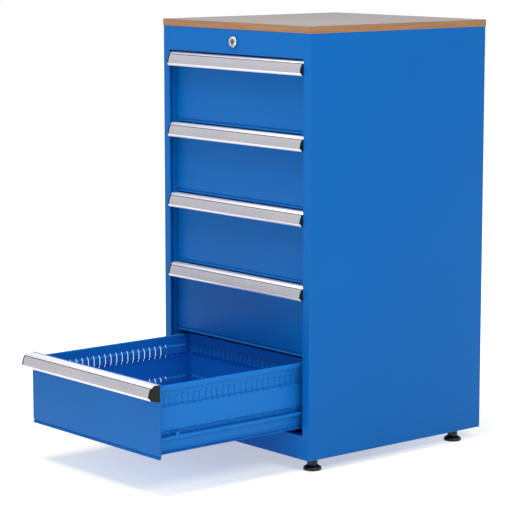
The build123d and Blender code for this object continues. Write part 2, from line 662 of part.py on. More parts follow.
def drawer_box():
    """Sheet box with hemmed rims, pressed strips, side channels, axles and lock catch."""
    pan = [
        (BOX_INSIDE + BOX_SHEET + HEM_WIDTH, BOX_TOP - HEM_HEIGHT),
        (BOX_INSIDE + BOX_SHEET + HEM_WIDTH, BOX_TOP),
        (BOX_INSIDE, BOX_TOP),
        (BOX_INSIDE, BOX_BOTTOM + BOX_SHEET),
    ]
    pan = pan + [(-x, z) for x, z in reversed(pan)]
    rear_wall = [
        (BOX_REAR + BOX_SHEET + HEM_WIDTH, BOX_TOP - HEM_HEIGHT),
        (BOX_REAR + BOX_SHEET + HEM_WIDTH, BOX_TOP),
        (BOX_REAR, BOX_TOP),
        (BOX_REAR, BOX_BOTTOM),
    ]
    channel = [
        (DRAWER_RAIL_TIP, RUNNER_LEVEL + ROLLER_RADIUS + RIDE_GAP + DRAWER_RAIL_SHEET),
        (BOX_OUTSIDE, RUNNER_LEVEL + ROLLER_RADIUS + RIDE_GAP + DRAWER_RAIL_SHEET),
        (BOX_OUTSIDE, BOX_BOTTOM),
        (DRAWER_RAIL_TIP, BOX_BOTTOM),
    ]
    catch = [
        (behind(RAIL_END), CATCH_LEVEL - CATCH_LIP),
        (behind(RAIL_END), CATCH_LEVEL + CATCH_SHEET),
        (BOX_REAR + BOX_SHEET, CATCH_LEVEL + CATCH_SHEET),
        (BOX_REAR + BOX_SHEET, CATCH_LEVEL - CATCH_FOOT),
    ]
    channel_start = PANEL_FRONT + PANEL_RETURN
    with BuildPart() as box:
        with BuildSketch(Plane.XZ.offset(-PANEL_BACK)):
            Polygon(*folded(pan, BOX_SHEET), align=None)
        extrude(amount=-(BOX_REAR + BOX_SHEET - PANEL_BACK))
        with BuildSketch(Plane.XZ.offset(-PANEL_BACK)):
            with Locations((0, BOX_BOTTOM)):
                Rectangle(2 * BOX_OUTSIDE, BOX_TOP - BOX_BOTTOM, align=(Align.CENTER, Align.MIN))
        extrude(amount=-BOX_SHEET)
        with BuildSketch(Plane.YZ.offset(-BOX_OUTSIDE)):
            Polygon(*folded(rear_wall, BOX_SHEET), align=None)
        extrude(amount=2 * BOX_OUTSIDE)
        # Strips: the pressed form is added inside each wall, then its back is hollowed from outside.
        for sheet, mode in ((0, Mode.ADD), (BOX_SHEET, Mode.SUBTRACT)):
            end = STRIP_END + sheet
            with BuildSketch(Plane.XZ.offset(-(BOX_FRONT + end))):
                for level in (UPPER_STRIP, LOWER_STRIP):
                    Polygon(*strip_outline(BOX_INSIDE, -1, level, sheet), align=None)
                    Polygon(*strip_outline(-BOX_INSIDE, 1, level, sheet), align=None)
            extrude(amount=-(BOX_DEPTH - 2 * end), mode=mode)
            with BuildSketch(Plane.YZ.offset(-(BOX_INSIDE - end))):
                for level in (UPPER_STRIP, LOWER_STRIP):
                    Polygon(*strip_outline(BOX_FRONT, 1, level, sheet), align=None)
                    Polygon(*strip_outline(BOX_REAR, -1, level, sheet), align=None)
            extrude(amount=2 * (BOX_INSIDE - end), mode=mode)
        # Channels that run on the front rollers, with tails that carry the rear axles.
        with BuildSketch(Plane.XZ.offset(-channel_start)):
            Polygon(*folded(channel, DRAWER_RAIL_SHEET), align=None)
            Polygon(*[(-x, z) for x, z in folded(channel, DRAWER_RAIL_SHEET)], align=None)
        extrude(amount=-(behind(RAIL_END) - channel_start))
        for side in (-1, 1):
            with BuildSketch(Plane.YZ.offset(side * DRAWER_RAIL_WEB)):
                with Locations((behind(REAR_ROLLER), RUNNER_LEVEL)):
                    RegularPolygon(AXLE_HEXAGON / 2, 6)
            extrude(amount=side * (CABINET_RAIL_TIP - DRAWER_RAIL_WEB))
            with BuildSketch(Plane.YZ.offset(side * CABINET_RAIL_TIP)):
                with Locations((behind(REAR_ROLLER), RUNNER_LEVEL)):
                    Circle(AXLE_DIAMETER / 2)
            extrude(amount=side * (CABINET_RAIL_WEB - AXLE_END_GAP - CABINET_RAIL_TIP))
        with BuildSketch(Plane.YZ.offset(BAR_CENTRE - CATCH_WIDTH / 2)):
            Polygon(*folded(catch, CATCH_SHEET), align=None)
        extrude(amount=CATCH_WIDTH)
    return box.part


def slotted(box):
    """The same box with slots for dividers cut through the upper strips of its sides and rear."""
    box_middle = (BOX_FRONT + BOX_REAR) / 2
    side_count = int((BOX_DEPTH - 2 * STRIP_END) / SLIT_PITCH)
    rear_count = int((2 * BOX_INSIDE - 2 * STRIP_END) / SLIT_PITCH)
    with BuildPart() as cut:
        add(box)
        with BuildSketch(Plane.YZ.offset(-BOX_OUTSIDE)):
            with Locations((box_middle, UPPER_STRIP)):
                with GridLocations(SLIT_PITCH, 1, side_count, 1):
                    Rectangle(SLIT_WIDTH, SLIT_HEIGHT)
        extrude(amount=2 * BOX_OUTSIDE, mode=Mode.SUBTRACT)
        with BuildSketch(Plane.XZ.offset(-(BOX_REAR - STRIP_DEPTH - BOX_SHEET))):
            with Locations((0, UPPER_STRIP)):
                with GridLocations(SLIT_PITCH, 1, rear_count, 1):
                    Rectangle(SLIT_WIDTH, SLIT_HEIGHT)
        extrude(amount=-(STRIP_DEPTH + BOX_SHEET), mode=Mode.SUBTRACT)
    return cut.part


def drawer_front():
    """Painted front sheet: returns at top and sides, and a groove folded along its lower edge."""
    line = [
        (PANEL_FRONT + PANEL_RETURN, HANDLE_TOP),
        (PANEL_FRONT, HANDLE_TOP),
        (PANEL_FRONT, FOLD_LEVEL),
        (PANEL_FRONT + GROOVE_BACK, FOLD_LEVEL - GROOVE_DROP),
        (PANEL_FRONT + GROOVE_BACK - LIP_FORWARD, FOLD_LEVEL - GROOVE_DROP - LIP_DROP),
    ]
    with BuildPart() as front:
        with BuildSketch(Plane.YZ.offset(-PANEL_HALF)):
            Polygon(*folded(line, PANEL_SHEET), align=None)
        extrude(amount=2 * PANEL_HALF)
        with BuildSketch(Plane.XZ.offset(-PANEL_FRONT)):
            with Locations((0, FOLD_LEVEL)):
                with GridLocations(2 * PANEL_HALF - PANEL_SHEET, 1, 2, 1):
                    Rectangle(PANEL_SHEET, HANDLE_TOP - FOLD_LEVEL, align=(Align.CENTER, Align.MIN))
        extrude(amount=-PANEL_RETURN)
    return front.part


def handle_plane(place):
    """Section plane of the handle: local x runs forward from the panel, local y up from its lower edge."""
    corner = (place, PANEL_FRONT, HANDLE_TOP - HANDLE_HEIGHT)
    return Plane(origin=corner, x_dir=(0, -1, 0), z_dir=(-1, 0, 0))


def face_point(level, radius):
    """Point of the curved handle face, or of a line inside it, at this height."""
    centre = HANDLE_DEPTH - FACE_RADIUS
    return (centre + math.sqrt(radius**2 - (level - FACE_LEVEL) ** 2), level)


def handle_outline():
    """Whole D-shaped outline of the handle: flat back and top, curved face, sloping underside."""
    face_top = face_point(HANDLE_HEIGHT, FACE_RADIUS)
    face_middle = face_point((HANDLE_HEIGHT + FACE_LEVEL) / 2, FACE_RADIUS)
    lip_round = (HANDLE_DEPTH - LIP_ROUND, (FACE_LEVEL + LIP_LEVEL) / 2)
    with BuildSketch() as outline:
        with BuildLine():
            Polyline((LIP_REACH, LIP_LEVEL), (0, 0), (0, HANDLE_HEIGHT), face_top)
            ThreePointArc(face_top, face_middle, (HANDLE_DEPTH, FACE_LEVEL))
            ThreePointArc((HANDLE_DEPTH, FACE_LEVEL), lip_round, (LIP_REACH, LIP_LEVEL))
        make_face()
        fillet(outline.vertices().group_by(Axis.Y)[-1], radius=HANDLE_ROUND)
    return outline.sketch


def face_band(bottom, top, outer, inner):
    """Band along the curved face between two heights and two radii."""
    middle = (top + bottom) / 2
    with BuildSketch() as band:
        with BuildLine():
            ThreePointArc(*[face_point(level, outer) for level in (bottom, middle, top)])
            Line(face_point(top, outer), face_point(top, inner))
            ThreePointArc(*[face_point(level, inner) for level in (top, middle, bottom)])
            Line(face_point(bottom, inner), face_point(bottom, outer))
        make_face()
    return band.sketch


def handle():
    """Aluminium extrusion, open below for fingers, its face channelled for a label and notched for caps."""
    finger_opening = [
        (-HANDLE_WALL, -HANDLE_WALL),
        (LIP_REACH - HANDLE_WALL, -HANDLE_WALL),
        (LIP_REACH - HANDLE_WALL, LIP_LEVEL + HANDLE_BEAD),
        (HANDLE_BEAD, BACK_FLANGE),
        (-HANDLE_WALL, BACK_FLANGE),
    ]
    outline = handle_outline()
    hollow = offset(outline, amount=-HANDLE_WALL, kind=Kind.INTERSECTION, mode=Mode.PRIVATE)
    beyond = FACE_RADIUS + HANDLE_WALL
    channel = face_band(FACE_LEVEL, CHANNEL_TOP, beyond, FACE_RADIUS - CHANNEL_DEPTH)
    notch = face_band(FACE_LEVEL, CHANNEL_TOP, beyond, FACE_RADIUS - 2 * HANDLE_WALL)
    with BuildPart() as grip:
        with BuildSketch(handle_plane(PANEL_HALF)):
            add(outline)
            add(hollow, mode=Mode.SUBTRACT)
            add(channel, mode=Mode.SUBTRACT)
            Polygon(*finger_opening, align=None, mode=Mode.SUBTRACT)
        extrude(amount=2 * PANEL_HALF)
        for place in (PANEL_HALF, CAP_LENGTH - PANEL_HALF):
            with BuildSketch(handle_plane(place)):
                add(notch)
            extrude(amount=CAP_LENGTH, mode=Mode.SUBTRACT)
    return grip.part


def handle_caps():
    """Two plastic end caps: each plugs the hollow and fills the notch in the face."""
    outline = handle_outline()
    plug = offset(outline, amount=-(HANDLE_WALL + CAP_CLEARANCE), kind=Kind.INTERSECTION, mode=Mode.PRIVATE)
    face_fill = face_band(
        FACE_LEVEL + CAP_CLEARANCE, CHANNEL_TOP - CAP_CLEARANCE, FACE_RADIUS, FACE_RADIUS - HANDLE_BEAD
    )
    throat = [
        (0, 0),
        (LIP_REACH - HANDLE_WALL - CAP_CLEARANCE, LIP_LEVEL * (1 - HANDLE_WALL / LIP_REACH)),
        (LIP_REACH - HANDLE_WALL - CAP_CLEARANCE, LIP_LEVEL + HANDLE_BEAD),
        (HANDLE_BEAD, BACK_FLANGE - CAP_CLEARANCE),
        (0, BACK_FLANGE - CAP_CLEARANCE),
    ]
    with BuildPart() as caps:
        for place in (PANEL_HALF, CAP_LENGTH - PANEL_HALF):
            with BuildSketch(handle_plane(place)):
                add(plug)
                add(face_fill)
                Polygon(*throat, align=None)
            extrude(amount=CAP_LENGTH)
    return caps.part


def label_strip():
    """Clear strip that slides into the label channel between the caps."""
    half = PANEL_HALF - CAP_LENGTH
    floor = FACE_RADIUS - CHANNEL_DEPTH + CAP_CLEARANCE
    with BuildPart() as strip:
        with BuildSketch(handle_plane(half)):
            add(face_band(FACE_LEVEL, LABEL_TOP, floor + LABEL_THICKNESS, floor))
        extrude(amount=2 * half)
    return strip.part


os.makedirs("parts", exist_ok=True)

body_pieces = {
    "back_panel": back_panel,
    "front_fascia": front_fascia,
    "bottom_rail": bottom_rail,
    "base_plate": base_plate,
    "top_crossmembers": top_crossmembers,
    "worktop_board": worktop_board,
    "worktop_laminate": worktop_laminate,
    "worktop_edging": worktop_edging,
    "foot_studs": foot_studs,
    "lock_body": lock_body,
    "lock_nut": lock_nut,
    "lock_plug": lock_plug,
    "lock_shaft": lock_shaft,
    "lock_bar": lock_bar,
}
for name, make in body_pieces.items():
    save(make(), name)

handed_pieces = {"side_panel": side_panel, "uprights": uprights, "cabinet_rails": cabinet_rails}
for name, make in handed_pieces.items():
    right = make()
    save(right.mirror(Plane.YZ), f"{name}_left")
    save(right, f"{name}_right")

foot_piece = foot()
for name, place in foot_places().items():
    save(foot_piece.moved(Location((*place, 0))), f"foot_{name}")

# The five drawers are alike; each piece is made for the top one and set down at every place.
# The front rollers turn on the cabinet's axles, so they stay behind when the lowest drawer comes out.
# The slots repeat so often that only the open drawer is cut with them here.
drawer_pieces = {
    "box": drawer_box,
    "front": drawer_front,
    "handle": handle,
    "handle_caps": handle_caps,
    "label_strip": label_strip,
    "rear_rollers": rear_rollers,
    "front_rollers": front_rollers,
}
for name, make in drawer_pieces.items():
    piece = make()
    for number, step in enumerate(MODULE_STEPS, start=1):
        lowest = number == DRAWER_COUNT
        if lowest and name == "box":
            piece = slotted(piece)
        forward = -TRAVEL if lowest and name != "front_rollers" else 0
        save(piece.moved(Location((0, forward, step))), f"drawer_{number}_{name}")
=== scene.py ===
"""Workshop drawer cabinet: finishes, detailed pieces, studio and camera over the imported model.

Sizes are written in millimetres, as on a drawing, and turned to metres where a mesh is made.
X runs to the right as seen from the front, the front faces -Y and Z is up.
"""

from __future__ import annotations

import logging
import math
from collections.abc import Sequence
from dataclasses import dataclass, field
from enum import Enum

import bmesh
import bpy
from bmesh.types import BMesh, BMVert
from bpy.types import Material, Node, NodeTree, Object
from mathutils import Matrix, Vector


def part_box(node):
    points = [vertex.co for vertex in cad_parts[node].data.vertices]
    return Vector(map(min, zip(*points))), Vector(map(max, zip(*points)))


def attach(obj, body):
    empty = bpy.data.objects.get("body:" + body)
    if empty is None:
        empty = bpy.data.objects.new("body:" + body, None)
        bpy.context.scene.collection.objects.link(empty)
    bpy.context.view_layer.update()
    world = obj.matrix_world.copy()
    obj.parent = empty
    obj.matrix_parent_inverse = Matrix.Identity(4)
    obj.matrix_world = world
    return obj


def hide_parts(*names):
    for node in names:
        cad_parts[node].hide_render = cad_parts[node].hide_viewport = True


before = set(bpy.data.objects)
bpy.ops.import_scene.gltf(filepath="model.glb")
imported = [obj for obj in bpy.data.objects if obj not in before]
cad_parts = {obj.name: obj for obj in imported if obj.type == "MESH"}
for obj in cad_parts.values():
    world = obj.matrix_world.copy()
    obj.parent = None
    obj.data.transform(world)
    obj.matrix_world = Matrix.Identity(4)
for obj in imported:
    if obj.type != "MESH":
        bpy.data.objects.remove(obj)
log = logging.getLogger("cabinet")

MM = 0.001
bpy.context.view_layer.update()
WELD_REACH = 0.01 * MM
SMOOTH_BELOW = math.radians(32)  # corners flatter than this are shaded as curves
SOFT_ABOVE = math.radians(50)  # corners sharper than this get a rounded edge
SOFT_STEPS = 2
WHITE = (1.0, 1.0, 1.0, 1.0)

Point2 = tuple[float, float]
Point3 = tuple[float, float, float]
NodeLinks = dict[str | int, tuple[Node, str | int]]


class Side(Enum):
    """The cabinet's two sides, as the sign of X."""

    LEFT = -1
    RIGHT = 1


class Wall(Enum):
    """The four walls of a drawer box."""

    LEFT = "left"
    RIGHT = "right"
    FRONT = "front"
    REAR = "rear"


# ---------------------------------------------------------------------------
# Materials
# ---------------------------------------------------------------------------


def linear(hex_colour: str) -> tuple[float, float, float, float]:
    """Turn an sRGB hex colour into the linear values that a shader works with.

    Args:
        hex_colour: Colour such as "#1468B8".

    Returns:
        Red, green and blue, all linear, and an alpha of 1.
    """
    digits = hex_colour.lstrip("#")
    channels = [int(digits[at : at + 2], 16) / 255 for at in (0, 2, 4)]
    red, green, blue = [
        value / 12.92 if value <= 0.04045 else ((value + 0.055) / 1.055) ** 2.4 for value in channels
    ]
    return (red, green, blue, 1.0)


def add_node(
    tree: NodeTree,
    kind: str,
    settings: dict[str | int, object] | None = None,
    links: NodeLinks | None = None,
) -> Node:
    """Add a node with its settings and its incoming links.

    Args:
        tree: Node tree that gets the node.
        kind: Blender's identifier of the node type.
        settings: Values by property name, or by input name or number.
        links: Source node and its output by input name or number.

    Returns:
        The new node.
    """
    node = tree.nodes.new(kind)
    for name, value in (settings or {}).items():
        if isinstance(name, str) and hasattr(node, name):
            setattr(node, name, value)
        else:
            node.inputs[name].default_value = value
    for name, (source, output) in (links or {}).items():
        tree.links.new(source.outputs[output], node.inputs[name])
    return node


def cells_per_metre(size_mm: float) -> float:
    """Texture scale at which one cell of a pattern has this size in millimetres."""
    return 1.0 / (size_mm * MM)


def seen_directly(tree: NodeTree) -> Node:
    """Tell what the camera sees, straight or mirrored, from light that only falls on things.

    Args:
        tree: Tree of a material or of the world.

    Returns:
        Node whose first output is 1 for camera, glossy and transmission rays, and 0 for others.
    """
    most = {"operation": "MAXIMUM"}
    path = add_node(tree, "ShaderNodeLightPath")
    rays = {0: (path, "Is Camera Ray"), 1: (path, "Is Glossy Ray")}
    straight = add_node(tree, "ShaderNodeMath", most, rays)
    return add_node(tree, "ShaderNodeMath", most, {0: (straight, 0), 1: (path, "Is Transmission Ray")})


@dataclass(frozen=True)
class NodeMaterial:
    """Base of every material here: nodes over the object's own coordinates, in metres."""

    name: str

    def build(self) -> Material:
        """Make the material.

        Returns:
            The finished material.
        """
        material = bpy.data.materials.new(self.name)
        material.use_nodes = True
        tree = material.node_tree
        tree.nodes.clear()
        coordinates = add_node(tree, "ShaderNodeTexCoord")
        shader = self.surface(tree, {"Vector": (coordinates, "Object")})
        add_node(tree, "ShaderNodeOutputMaterial", links={"Surface": (shader, 0)})
        return material

    def surface(self, tree: NodeTree, place: NodeLinks) -> Node:
        """Add the nodes of the surface.

        Args:
            tree: Tree of the material.
            place: Link that gives a pattern its place on the object.

        Returns:
            The shader.
        """
        raise NotImplementedError


@dataclass(frozen=True)
class Pattern:
    """Cloudy pattern with cells of a real size."""

    size_mm: float
    detail: float = 2.0
    roughness: float = 0.5

    @property
    def settings(self) -> dict[str | int, object]:
        """Settings of the noise that draws the pattern."""
        scale = cells_per_metre(self.size_mm)
        return {"Scale": scale, "Detail": self.detail, "Roughness": self.roughness}


@dataclass(frozen=True)
class Finish(NodeMaterial):
    """Finish of a real surface: clouds change its tone, and a grain its sheen and its relief."""

    light: str
    dark: str
    clouds: Pattern
    grain: Pattern | None = None  # the clouds serve as grain where there is none
    stretch: Point3 = (1.0, 1.0, 1.0)
    roughness: float = 0.5
    spread: float = 0.0  # how far the grain moves the roughness to each side
    relief: float = 0.0
    relief_depth: float = 0.0002
    metallic: float = 0.0
    ior: float = 1.5  # Blender's own value, which the metals keep
    gloss: float = 0.5
    coat: float = 0.0
    coat_roughness: float = 0.22

    @property
    def tones(self) -> dict[str | int, object]:
        """Settings of a colour that goes from the dark tone to the light one."""
        return {"data_type": "RGBA", 6: linear(self.dark), 7: linear(self.light)}

    def tone(self, tree: NodeTree, place: NodeLinks) -> tuple[Node, Node]:
        """Add the nodes of the colour.

        Args:
            tree: Tree of the material.
            place: Link that gives a pattern its place.

        Returns:
            The pattern and the colour that changes with it.
        """
        clouds = add_node(tree, "ShaderNodeTexNoise", self.clouds.settings, place)
        return clouds, add_node(tree, "ShaderNodeMix", self.tones, {0: (clouds, "Fac")})

    def surface(self, tree: NodeTree, place: NodeLinks) -> Node:
        """Add tone, sheen and relief, as NodeMaterial.surface says."""
        run = {"Vector": (add_node(tree, "ShaderNodeMapping", {"Scale": self.stretch}, place), 0)}
        clouds, colour = self.tone(tree, run)
        grain = clouds
        if self.grain:
            grain = add_node(tree, "ShaderNodeTexNoise", self.grain.settings, run)
        links = {"Base Color": (colour, 2)}
        if self.spread:
            ends = {"To Min": self.roughness - self.spread, "To Max": self.roughness + self.spread}
            sheen = add_node(tree, "ShaderNodeMapRange", ends, {"Value": (grain, "Fac")})
            links["Roughness"] = (sheen, 0)
        if self.relief:
            bump = {"Strength": self.relief, "Distance": self.relief_depth}
            relief = add_node(tree, "ShaderNodeBump", bump, {"Height": (grain, "Fac")})
            links["Normal"] = (relief, 0)
        settings = {
            "Metallic": self.metallic,
            "Roughness": self.roughness,
            "IOR": self.ior,
            "Specular IOR Level": self.gloss,
            "Coat Weight": self.coat,
            "Coat Roughness": self.coat_roughness,
        }
        return add_node(tree, "ShaderNodeBsdfPrincipled", settings, links)


@dataclass(frozen=True)
class PowderCoat(Finish):
    """Polyester powder coat, sprayed on folded steel sheet and cured in an oven.

    The powder flows into a skin with a fine orange peel, so the eye gets an even light blue with a soft
    sheen that breaks up a little, and slightly deeper colour where the skin is thicker.
    """

    clouds: Pattern = Pattern(180.0)  # slow change of film thickness over a panel
    grain: Pattern = Pattern(5.0, 1.5, 0.4)  # the peel is about 1.5 mm; drawn coarser to show
    roughness: float = 0.42
    spread: float = 0.03
    relief: float = 0.05
    relief_depth: float = 0.0004
    gloss: float = 0.1  # half-matt powder mirrors less than a clear film does


@dataclass(frozen=True)
class PressedLaminate(Finish):
    """High-pressure laminate, pressed against a finely textured plate.

    Resin-soaked paper gives a taupe grey with a faint mottle; the plate leaves a dry, matt surface.
    """

    name: str = "Pressed laminate, taupe"
    light: str = "#908988"
    dark: str = "#817A78"
    clouds: Pattern = Pattern(9.0, 4.0, 0.6)  # mottle of the paper
    grain: Pattern = Pattern(3.0)  # the plate's texture is about 0.3 mm; drawn coarser so that it shows
    roughness: float = 0.55
    relief: float = 0.12
    relief_depth: float = 0.0003


@dataclass(frozen=True)
class LacqueredBeech(Finish):
    """Beech, sawn into thin strips and clear lacquered.

    Close, straight grain runs along the strip with short darker flecks, under a thin matt film.
    """

    light: str = "#A3764F"
    dark: str = "#8F643C"
    clouds: Pattern = Pattern(4.0, 5.0, 0.6)  # growth lines on the edge of a board, 2 to 5 mm apart
    relief: float = 0.15
    ior: float = 1.48
    fleck: str = "#7C5433"
    flecks: Pattern = Pattern(2.5, 1.0)  # pores and rays, drawn wide enough to show

    def tone(self, tree: NodeTree, place: NodeLinks) -> tuple[Node, Node]:
        """Add grain lines with darker flecks between them, as Finish.tone says."""
        grain = add_node(tree, "ShaderNodeTexNoise", self.clouds.settings, place)
        ends = {"From Min": 0.32, "From Max": 0.68}
        bands = add_node(tree, "ShaderNodeMapRange", ends, {"Value": (grain, "Fac")})
        wood = add_node(tree, "ShaderNodeMix", self.tones, {0: (bands, 0)})
        ends = {"From Min": 0.6, "From Max": 0.75, "To Max": 0.5}
        flecks = add_node(tree, "ShaderNodeTexNoise", self.flecks.settings, place)
        spots = add_node(tree, "ShaderNodeMapRange", ends, {"Value": (flecks, "Fac")})
        spotted = {"data_type": "RGBA", 7: linear(self.fleck)}
        return grain, add_node(tree, "ShaderNodeMix", spotted, {0: (spots, 0), 6: (wood, 2)})


@dataclass(frozen=True)
class ParticleBoard(Finish):
    """Particle board, wood chips pressed with resin; its sawn faces show pale and dark chips."""

    name: str = "Particle board, pressed chips"
    light: str = "#C9A67B"
    dark: str = "#8C6A45"
    clouds: Pattern = Pattern(4.0)  # size of a chip
    roughness: float = 0.8
    ior: float = 1.48

    def tone(self, tree: NodeTree, place: NodeLinks) -> tuple[Node, Node]:
        """Add the chips, each with a tone of its own, as Finish.tone says."""
        cells = {"Scale": cells_per_metre(self.clouds.size_mm)}
        chips = add_node(tree, "ShaderNodeTexVoronoi", cells, place)
        tone = add_node(tree, "ShaderNodeSeparateColor", links={0: (chips, "Color")})
        return chips, add_node(tree, "ShaderNodeMix", self.tones, {0: (tone, 0)})


@dataclass(frozen=True)
class AnodisedAluminium(Finish):
    """Aluminium, extruded, satin etched and anodised in its natural colour.

    The die leaves faint lines along the bar; the etch scatters light widely, so faces that look up to the
    lamps turn near white and those that look down stay grey.
    """

    name: str = "Anodised aluminium extrusion"
    light: str = "#E2E0E7"
    dark: str = "#E2E0E7"
    clouds: Pattern = Pattern(1.2)  # die lines are about 0.2 mm apart; drawn coarser so that they show
    stretch: Point3 = (0.004, 1.0, 1.0)
    roughness: float = 0.56
    spread: float = 0.05
    relief: float = 0.08
    metallic: float = 1.0


@dataclass(frozen=True)
class LabelCover(Finish):
    """Clear PVC strip, extruded, over a plain grey card; smooth, so it mirrors softly along itself."""

    name: str = "Clear PVC strip over grey card"
    light: str = "#AFADB5"
    dark: str = "#9B99A2"
    clouds: Pattern = Pattern(60.0)  # the card lies a little wavy behind the strip
    stretch: Point3 = (0.5, 1.0, 1.0)
    roughness: float = 0.38
    coat: float = 0.6


@dataclass(frozen=True)
class MouldedPlastic(Finish):
    """Plastic, injection moulded in a spark-eroded tool; an even colour with a fine matt grain."""

    clouds: Pattern = Pattern(1.5)  # spark grain is about 0.1 mm; drawn coarser so that it shows
    relief: float = 0.08
    ior: float = 1.49


@dataclass(frozen=True)
class PlatedMetal(Finish):
    """Metal, electroplated in a barrel; bright or satin, with a slow change of tone over each piece,
    which on the chrome ring is drawn as patches of painted reflection.
    """

    clouds: Pattern = Pattern(14.0, 3.0)
    metallic: float = 1.0


@dataclass(frozen=True)
class PaintedFloor(NodeMaterial):
    """Studio floor, painted white: it takes shadows, and a glow that grows outward keeps it white."""

    name: str = "Studio floor, painted white"
    colour: str = "#E2DED0"
    near_glow: float = 0.46
    far_glow: float = 1.0
    near_radius: float = 0.1  # metres from the object's middle, as the next one
    far_radius: float = 1.25
    bounce: float = 0.95  # share of the glow that falls on the object

    def surface(self, tree: NodeTree, place: NodeLinks) -> Node:
        """Add the paint and its glow, as NodeMaterial.surface says."""
        distance = add_node(tree, "ShaderNodeVectorMath", {"operation": "LENGTH"}, {0: place["Vector"]})
        level = add_node(
            tree,
            "ShaderNodeMapRange",
            {
                "interpolation_type": "SMOOTHSTEP",
                "From Min": self.near_radius,
                "From Max": self.far_radius,
                "To Min": self.near_glow,
                "To Max": self.far_glow,
            },
            {"Value": (distance, "Value")},
        )
        ends = {"To Min": self.bounce, "To Max": 1.0}
        share = add_node(tree, "ShaderNodeMapRange", ends, {"Value": (seen_directly(tree), 0)})
        product = {"operation": "MULTIPLY"}
        strength = add_node(tree, "ShaderNodeMath", product, {0: (share, 0), 1: (level, 0)})
        glow = add_node(tree, "ShaderNodeEmission", {"Color": WHITE}, {"Strength": (strength, 0)})
        paint = add_node(tree, "ShaderNodeBsdfDiffuse", {"Color": linear(self.colour)})
        return add_node(tree, "ShaderNodeAddShader", links={0: (paint, 0), 1: (glow, 0)})


def made(finish: Finish) -> Material:
    """Field that holds a finish's material, built when its set is made.

    Args:
        finish: Finish of the field.

    Returns:
        The dataclass field.
    """
    return field(default_factory=finish.build)


@dataclass
class FinishSet:
    """Every finish of the cabinet, each made once."""

    body: Material = made(PowderCoat("Powder coat on steel, body blue", "#0766B6", "#0460AF"))
    # The drawers have the body's paint; this copy of its blue is drawn lighter as painted light, for the
    # brighter light on the drawer walls
    drawer: Material = made(
        PowderCoat("Powder coat on steel, drawer blue", "#1674C8", "#126EC2", roughness=0.4)
    )
    laminate: Material = made(PressedLaminate())
    # A pore or fleck of the beech is some 25 times as long as it is wide
    beech_across: Material = made(
        LacqueredBeech("Lacquered beech, grain across", stretch=(0.04, 1.0, 1.0))
    )
    beech_deep: Material = made(
        LacqueredBeech("Lacquered beech, grain front to back", stretch=(1.0, 0.04, 1.0))
    )
    board: Material = made(ParticleBoard())
    aluminium: Material = made(AnodisedAluminium())
    label: Material = made(LabelCover())
    # Polypropylene, moulded: near black, with a dry grain that catches little light
    cap: Material = made(
        MouldedPlastic("Moulded polypropylene, black", "#0E0E10", "#08080A", roughness=0.5, gloss=0.22)
    )
    # Dark grey, dull strip in the gap along the label strip's top: painted shade, which draws the gap's
    # thin dark line
    shade_strip: Material = made(
        MouldedPlastic("Dark grey strip, painted shade of the label gap", "#302E32", "#28262A", roughness=0.7, gloss=0.2)
    )
    # Polyamide, moulded in a polished tool: black, with clear highlights on its rounds
    foot: Material = made(
        MouldedPlastic(
            "Moulded polyamide, black", "#0B0B0F", "#07070A", roughness=0.22, gloss=0.35, relief=0.02
        )
    )
    # Nylon, moulded: milky white and slightly waxy
    nylon: Material = made(MouldedPlastic("Moulded nylon, natural", "#E6E2D6", "#DAD6C8", roughness=0.4))
    # Zinc die casting, chrome plated: a mirror; the dark and bright patches in its colour are painted
    # reflection of the room
    chrome: Material = made(
        PlatedMetal(
            "Chrome plated die casting",
            "#F2F3F5",
            "#77797F",
            Pattern(7.0, 3.0),
            roughness=0.14,
            spread=0.028,
        )
    )
    # Brass, nickel plated: drawn darker and duller than the ring round it, with dark and light patches in
    # its colour like the ring's painted reflection
    nickel: Material = made(
        PlatedMetal(
            "Nickel plated brass", "#8D8985", "#4A4746", Pattern(6.0, 3.0), roughness=0.3, spread=0.06
        )
    )
    # Steel, zinc plated: satin grey with a slight blue cast
    zinc: Material = made(
        PlatedMetal("Zinc plated steel", "#BFC4CB", "#A4A9B0", roughness=0.34, spread=0.068)
    )


# ---------------------------------------------------------------------------
# Mesh helpers
# ---------------------------------------------------------------------------


def folded(points: Sequence[Point2], thickness: float) -> list[Point2]:
    """Outline of a bent sheet from the line along one of its faces.

    Args:
        points: Corners of the line, in order.
        thickness: Sheet thickness, laid to the left of the line.

    Returns:
        Corners of the closed outline.
    """
    normals: list[Point2] = []
    for (ax, ay), (bx, by) in zip(points, points[1:]):
        length = math.hypot(bx - ax, by - ay)
        normals.append(((ay - by) / length, (bx - ax) / length))
    normals = [normals[0], *normals, normals[-1]]
    other: list[Point2] = []
    for (x, y), (ax, ay), (bx, by) in zip(points, normals, normals[1:]):
        reach = thickness / (1 + ax * bx + ay * by)
        other.append((x + (ax + bx) * reach, y + (ay + by) * reach))
    return [*points, *reversed(other)]


def rounded(points: Sequence[Point2], radius: float, steps: int = 4) -> list[Point2]:
    """Round the inner corners of an open line.

    Args:
        points: Corners of the line, in order.
        radius: Radius of each bend, made smaller where a run is short.
        steps: Number of chords in each bend.

    Returns:
        Points of the line with its bends.
    """
    line: list[Point2] = [points[0]]
    for before, corner, after in zip(points, points[1:], points[2:]):
        a, b, c = Vector(before), Vector(corner), Vector(after)
        turn = (a - b).angle(c - b)
        cut = min(radius / math.tan(turn / 2), (a - b).length / 2, (c - b).length / 2)
        start, end = b + (a - b).normalized() * cut, b + (c - b).normalized() * cut
        for step in range(steps + 1):
            t = step / steps
            point = start * (1 - t) ** 2 + b * 2 * t * (1 - t) + end * t**2
            line.append((point.x, point.y))
    line.append(points[-1])
    return line


